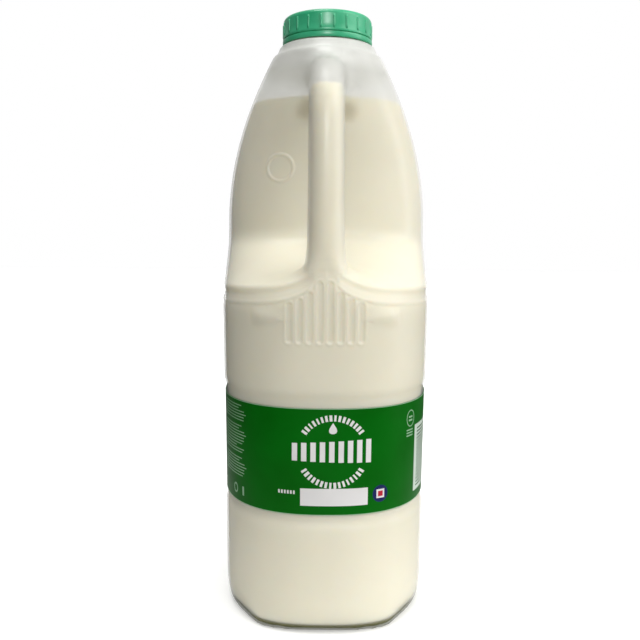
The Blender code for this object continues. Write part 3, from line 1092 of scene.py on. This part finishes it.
def ring_marks_tree(finish):
    """Geometry nodes: small upright marks spread along an arc."""
    tree, given = new_tree("ring_marks", ["Count"], [
        "Across", "Up", "Radius", "Start Angle", "Sweep Angle", "Mark Width", "Mark Height"])
    arc = add_node(tree, "GeometryNodeCurveArc", {
        "Resolution": 64, "Radius": given["Radius"], "Start Angle": given["Start Angle"],
        "Sweep Angle": given["Sweep Angle"]})
    spread = add_node(tree, "GeometryNodeResampleCurve", {
        "Curve": arc.outputs["Curve"], "Count": given["Count"]})
    mark = add_node(tree, "GeometryNodeMeshGrid", {
        "Size X": given["Mark Width"], "Size Y": given["Mark Height"], "Vertices X": 2, "Vertices Y": 2})
    place = tree.nodes.new("GeometryNodeInputPosition").outputs["Position"]
    turn = add_node(tree, "FunctionNodeAlignRotationToVector", {"Vector": place}, axis="Y", pivot_axis="Z")
    size = add_node(tree, "FunctionNodeRandomValue", {2: 0.55, 3: 1.0, "Seed": 5}, data_type="FLOAT")
    scale = add_node(tree, "ShaderNodeCombineXYZ", {"X": size.outputs[1], "Y": 1.0, "Z": 1.0})
    stood = add_node(tree, "GeometryNodeInstanceOnPoints", {
        "Points": spread.outputs["Curve"], "Instance": mark.outputs["Mesh"],
        "Rotation": turn.outputs["Rotation"], "Scale": scale.outputs["Vector"]})
    middle = add_node(tree, "ShaderNodeCombineXYZ", {"X": given["Across"], "Y": given["Up"]})
    end_tree(tree, stood.outputs["Instances"], finish, middle.outputs["Vector"])
    return tree


def fine_rows_tree(finish):
    """Geometry nodes: fine rows of print under each other, each a little shorter or longer."""
    tree, given = new_tree("fine_rows", ["Count"], ["Left", "Top", "Pitch", "Row Width", "Row Height"])
    down = add_node(tree, "ShaderNodeMath", {0: given["Pitch"], 1: -1.0}, operation="MULTIPLY")
    start = add_node(tree, "ShaderNodeCombineXYZ", {"X": given["Left"], "Y": given["Top"]})
    step = add_node(tree, "ShaderNodeCombineXYZ", {"Y": down.outputs["Value"]})
    line = add_node(tree, "GeometryNodeMeshLine", {
        "Count": given["Count"], "Start Location": start.outputs["Vector"],
        "Offset": step.outputs["Vector"]})
    row = add_node(tree, "GeometryNodeMeshGrid", {
        "Size X": given["Row Width"], "Size Y": given["Row Height"], "Vertices X": 12, "Vertices Y": 2})
    half = add_node(tree, "ShaderNodeMath", {0: given["Row Width"], 1: 0.5}, operation="MULTIPLY")
    shift = add_node(tree, "ShaderNodeCombineXYZ", {"X": half.outputs["Value"]})
    from_left = add_node(tree, "GeometryNodeTransform", {
        "Geometry": row.outputs["Mesh"], "Translation": shift.outputs["Vector"]})
    length = add_node(tree, "FunctionNodeRandomValue", {2: 0.6, 3: 1.0, "Seed": 11}, data_type="FLOAT")
    scale = add_node(tree, "ShaderNodeCombineXYZ", {"X": length.outputs[1], "Y": 1.0, "Z": 1.0})
    stood = add_node(tree, "GeometryNodeInstanceOnPoints", {
        "Points": line.outputs["Mesh"], "Instance": from_left.outputs["Geometry"],
        "Scale": scale.outputs["Vector"]})
    end_tree(tree, stood.outputs["Instances"], finish)
    return tree


def grown_field(name, tree, values):
    """Flat points and faces from a tree, whose temporary object is taken away again."""
    made = grown(name, tree, values)
    field = flat_mesh(made.data)
    bpy.data.objects.remove(made, do_unlink=True)
    return field


def make_front_print(sleeve):
    """White shapes on the front: bars, a ring of marks, a drop, the blank field and small marks."""
    white = printed_film("opaque_white_print", "#DFDDDC", "#E9E7E6")
    marks = ring_marks_tree(white)
    ring_s = sleeve.along(MARK_RING_MIDDLE[0])
    fields = []
    for start, sweep in MARK_RING_ARCS:
        fields.append(grown_field("marks", marks, {
            "Count": MARK_COUNT, "Across": ring_s * MM, "Up": MARK_RING_MIDDLE[1] * MM,
            "Radius": MARK_RING_RADIUS * MM,
            "Start Angle": math.radians(start), "Sweep Angle": math.radians(sweep),
            "Mark Width": MARK_SIZE[0] * MM, "Mark Height": MARK_SIZE[1] * MM}))
    left, right, low, high = BAR_FIELD
    pitch = (right - left) / BAR_COUNT
    for i in range(BAR_COUNT):
        s = left + i * pitch
        share = i / (BAR_COUNT - 1)
        fields.append(rectangle(s, s + BAR_SHARE * pitch, low + 0.5 - share, high - 0.8 + 1.6 * share))
    fields.append(drop(ring_s, DROP_Z, DROP_SIZE))
    fields.append(rectangle(*BLANK_FIELD))
    first, last, height = DATE_MARKS
    for i in range(DATE_MARK_COUNT):
        s = first + (last - first) * i / DATE_MARK_COUNT
        fields.append(rectangle(s, s + 0.8, height - DATE_MARK_HALF_HEIGHT, height + DATE_MARK_HALF_HEIGHT))
    fields.append(square(*SEAL_MIDDLE, SEAL_SQUARES[0]))
    print_piece("white_print", sleeve, fields, white)
    navy = printed_film("navy_print", "#1C2454", "#232C60")
    print_piece("navy_print", sleeve, [hoop(*SEAL_MIDDLE, 0.0, SEAL_RADIUS)], navy, PRINT_LIFT - PRINT_LAYER)
    red = printed_film("red_print", "#B32638", "#BC2E40")
    print_piece("red_print", sleeve, [square(*SEAL_MIDDLE, SEAL_SQUARES[1])], red, PRINT_LIFT + PRINT_LAYER)


def make_side_print(sleeve):
    """Fine rows and a mark on the left, an oval on the right, and a pale table round the right side."""
    pale = printed_film("pale_fine_print", "#8DB591", "#9CC29F")
    rows = fine_rows_tree(pale)
    left_s, right_s = (sleeve.along(x) for x in FINE_ROWS_ACROSS)
    fields = []
    for top, count in FINE_ROW_BLOCKS:
        fields.append(grown_field("rows", rows, {
            "Count": count, "Left": left_s * MM, "Top": top * MM, "Pitch": FINE_ROW_PITCH * MM,
            "Row Width": (right_s - left_s) * MM, "Row Height": FINE_ROW_HEIGHT * MM}))
    fields.append(hoop(sleeve.along(-40.5), 61.0, 1.4, 2.1, 1.15))
    fields.append(rectangle(sleeve.along(-37.0), sleeve.along(-36.2), 58.9, 63.1))
    oval_s, oval_z = sleeve.along(OVAL_MIDDLE[0]), OVAL_MIDDLE[1]
    fields.append(hoop(oval_s, oval_z, 3.0, 3.4, 1.15))
    for low in (oval_z + 0.3, oval_z - 1.3):
        fields.append(rectangle(oval_s - 1.6, oval_s + 1.6, low, low + 0.8))
    for i in range(3):
        fields.append(rectangle(oval_s - 3.2, oval_s + 2.2, 89.4 - 1.3 * i, 90.0 - 1.3 * i))
    half_round = 0.5 * sleeve.length
    fields.append(rectangle(-half_round, half_round, LABEL_BOTTOM_Z + 0.05, LABEL_BOTTOM_Z + 0.35))
    fields.append(rectangle(-half_round, half_round, LABEL_TOP_Z - 0.35, LABEL_TOP_Z - 0.05))
    print_piece("pale_print", sleeve, fields, pale)
    table_s = sleeve.along(TABLE_FROM)
    table = printed_film("pale_table_print", "#C9D6CA", "#D5E0D5")
    print_piece("pale_table", sleeve, [rectangle(table_s, table_s + TABLE_WIDTH, *TABLE_HEIGHTS)], table)
    dark = printed_film("green_fine_print", "#0B4A12", "#125A1A")
    dark_rows = fine_rows_tree(dark)
    fields = []
    for left, width in TABLE_COLUMNS:
        fields.append(grown_field("rows", dark_rows, {
            "Count": TABLE_ROW_COUNT, "Left": (table_s + left) * MM, "Top": 88.8 * MM, "Pitch": 1.6 * MM,
            "Row Width": width * MM, "Row Height": 0.6 * MM}))
    print_piece("table_rows", sleeve, fields, dark, PRINT_LIFT + PRINT_LAYER)


def make_camera():
    """The photograph's view."""
    data = bpy.data.cameras.new("camera")
    data.sensor_width = SENSOR_WIDTH
    data.lens = SENSOR_WIDTH * FOCAL_PIXELS / IMAGE_PIXELS
    camera = bpy.data.objects.new("camera", data)
    pitch, yaw, roll = (math.radians(angle) for angle in CAMERA_TURN)
    turned = (Matrix.Rotation(yaw, 4, "Z") @ Matrix.Rotation(math.radians(90.0) - pitch, 4, "X")
              @ Matrix.Rotation(roll, 4, "Z"))
    camera.matrix_world = Matrix.Translation((0.0, -CAMERA_DISTANCE * MM, CAMERA_HEIGHT * MM)) @ turned
    bpy.context.scene.collection.objects.link(camera)
    bpy.context.scene.camera = camera


def add_lamp(name, kind, place, aim, **settings):
    """A lamp that shines from its place at its aim."""
    lamp = bpy.data.lights.new(name, kind)
    lamp.energy = LIGHTS[name]
    for setting, value in settings.items():
        setattr(lamp, setting, value)
    made = bpy.data.objects.new(name, lamp)
    made.location = place
    made.rotation_euler = (Vector(place) - Vector(aim)).to_track_quat("Z", "Y").to_euler()
    bpy.context.scene.collection.objects.link(made)


def make_lamps():
    """Wide soft lamps from the right and from above, a small window in front and a strip at the right."""
    middle, half_way_up = (0.0, 0.0, 0.0), (0.0, 0.0, 0.2)
    add_lamp("key", "SUN", (1.0, -0.45, 0.75), middle, angle=math.radians(40.0), color=(1.0, 0.995, 0.98))
    add_lamp("top", "SUN", (-0.15, -0.10, 1.4), middle, angle=math.radians(30.0))
    add_lamp("window", "AREA", (0.0, -1.6, 0.72), half_way_up, shape="RECTANGLE", size=0.12, size_y=0.4)
    add_lamp("strip", "AREA", (1.5, -0.10, 0.20), half_way_up, shape="RECTANGLE", size=0.16, size_y=1.2)


def make_studio():
    """White where the camera sees it, and brighter to the right and behind as light."""
    world = bpy.data.worlds.new("studio")
    world.use_nodes = True
    tree = world.node_tree
    tree.nodes.clear()
    ways = tree.nodes.new("ShaderNodeTexCoord").outputs["Generated"]
    parts = add_node(tree, "ShaderNodeSeparateXYZ", {"Vector": ways}).outputs
    level = 0.0
    for name, axis, start, end in (("right", "X", -0.6, 1.0), ("behind", "Y", 0.1, 0.9)):
        part = add_node(tree, "ShaderNodeMapRange", {
            "Value": parts[axis], "From Min": start, "From Max": end, "To Min": 0.0, "To Max": LIGHTS[name]})
        level = add_node(tree, "ShaderNodeMath", {0: level, 1: part.outputs["Result"]}).outputs["Value"]
    around = add_node(tree, "ShaderNodeBackground", {"Color": (0.98, 0.99, 1.0, 1.0), "Strength": level})
    seen = add_node(tree, "ShaderNodeBackground", {"Color": (1.0, 1.0, 1.0, 1.0), "Strength": 1.0})
    ray = tree.nodes.new("ShaderNodeLightPath")
    both = add_node(tree, "ShaderNodeMixShader", {
        0: ray.outputs["Is Camera Ray"], 1: around.outputs["Background"], 2: seen.outputs["Background"]})
    out = tree.nodes.new("ShaderNodeOutputWorld")
    tree.links.new(both.outputs["Shader"], out.inputs["Surface"])
    bpy.context.scene.world = world
    bpy.context.scene.view_settings.view_transform = "Standard"


def make_floor():
    """A pale floor that bounces less light further out, and is lifted to white for the camera."""
    left, right, front, back = -3000, 3000, -2500, 4000
    corners = [(left, front, 0), (right, front, 0), (right, back, 0), (left, back, 0)]
    floor = new_object("floor", corners, [(0, 1, 2, 3)])
    finish, tree, shader, place = new_finish("pale_floor", **{"Roughness": 0.7, "Specular IOR Level": 0.1})
    away = add_node(tree, "ShaderNodeVectorMath", {0: place}, operation="LENGTH").outputs["Value"]
    far = add_node(tree, "ShaderNodeMapRange", {"Value": away, "From Min": 0.07, "From Max": 0.34})
    bounce = add_node(tree, "ShaderNodeMix", {
        "Factor": far.outputs["Result"], 6: linear("#D2D2D0"), 7: linear("#3C3D3C")}, data_type="RGBA")
    seen = tree.nodes.new("ShaderNodeLightPath").outputs["Is Camera Ray"]
    colour = add_node(tree, "ShaderNodeMix", {
        "Factor": seen, 6: bounce.outputs[2], 7: linear("#FBFBFA")}, data_type="RGBA")
    glow = add_node(tree, "ShaderNodeMath", {0: seen, 1: FLOOR_GLOW}, operation="MULTIPLY")
    shader.inputs["Emission Color"].default_value = (1.0, 1.0, 1.0, 1.0)
    feed(tree, shader, {"Base Color": colour.outputs[2], "Emission Strength": glow.outputs["Value"]})
    floor.data.materials.append(finish)


def main():
    """Set the stage, then make and dress every piece."""
    make_camera()
    make_lamps()
    make_studio()
    make_floor()
    make_bottle_skin()
    make_milk()
    green = moulded_green_polyethylene()
    make_cap(green)
    make_cap_ribs(green)
    sleeve = Sleeve()
    make_label(sleeve)
    make_front_print(sleeve)
    make_side_print(sleeve)


main()
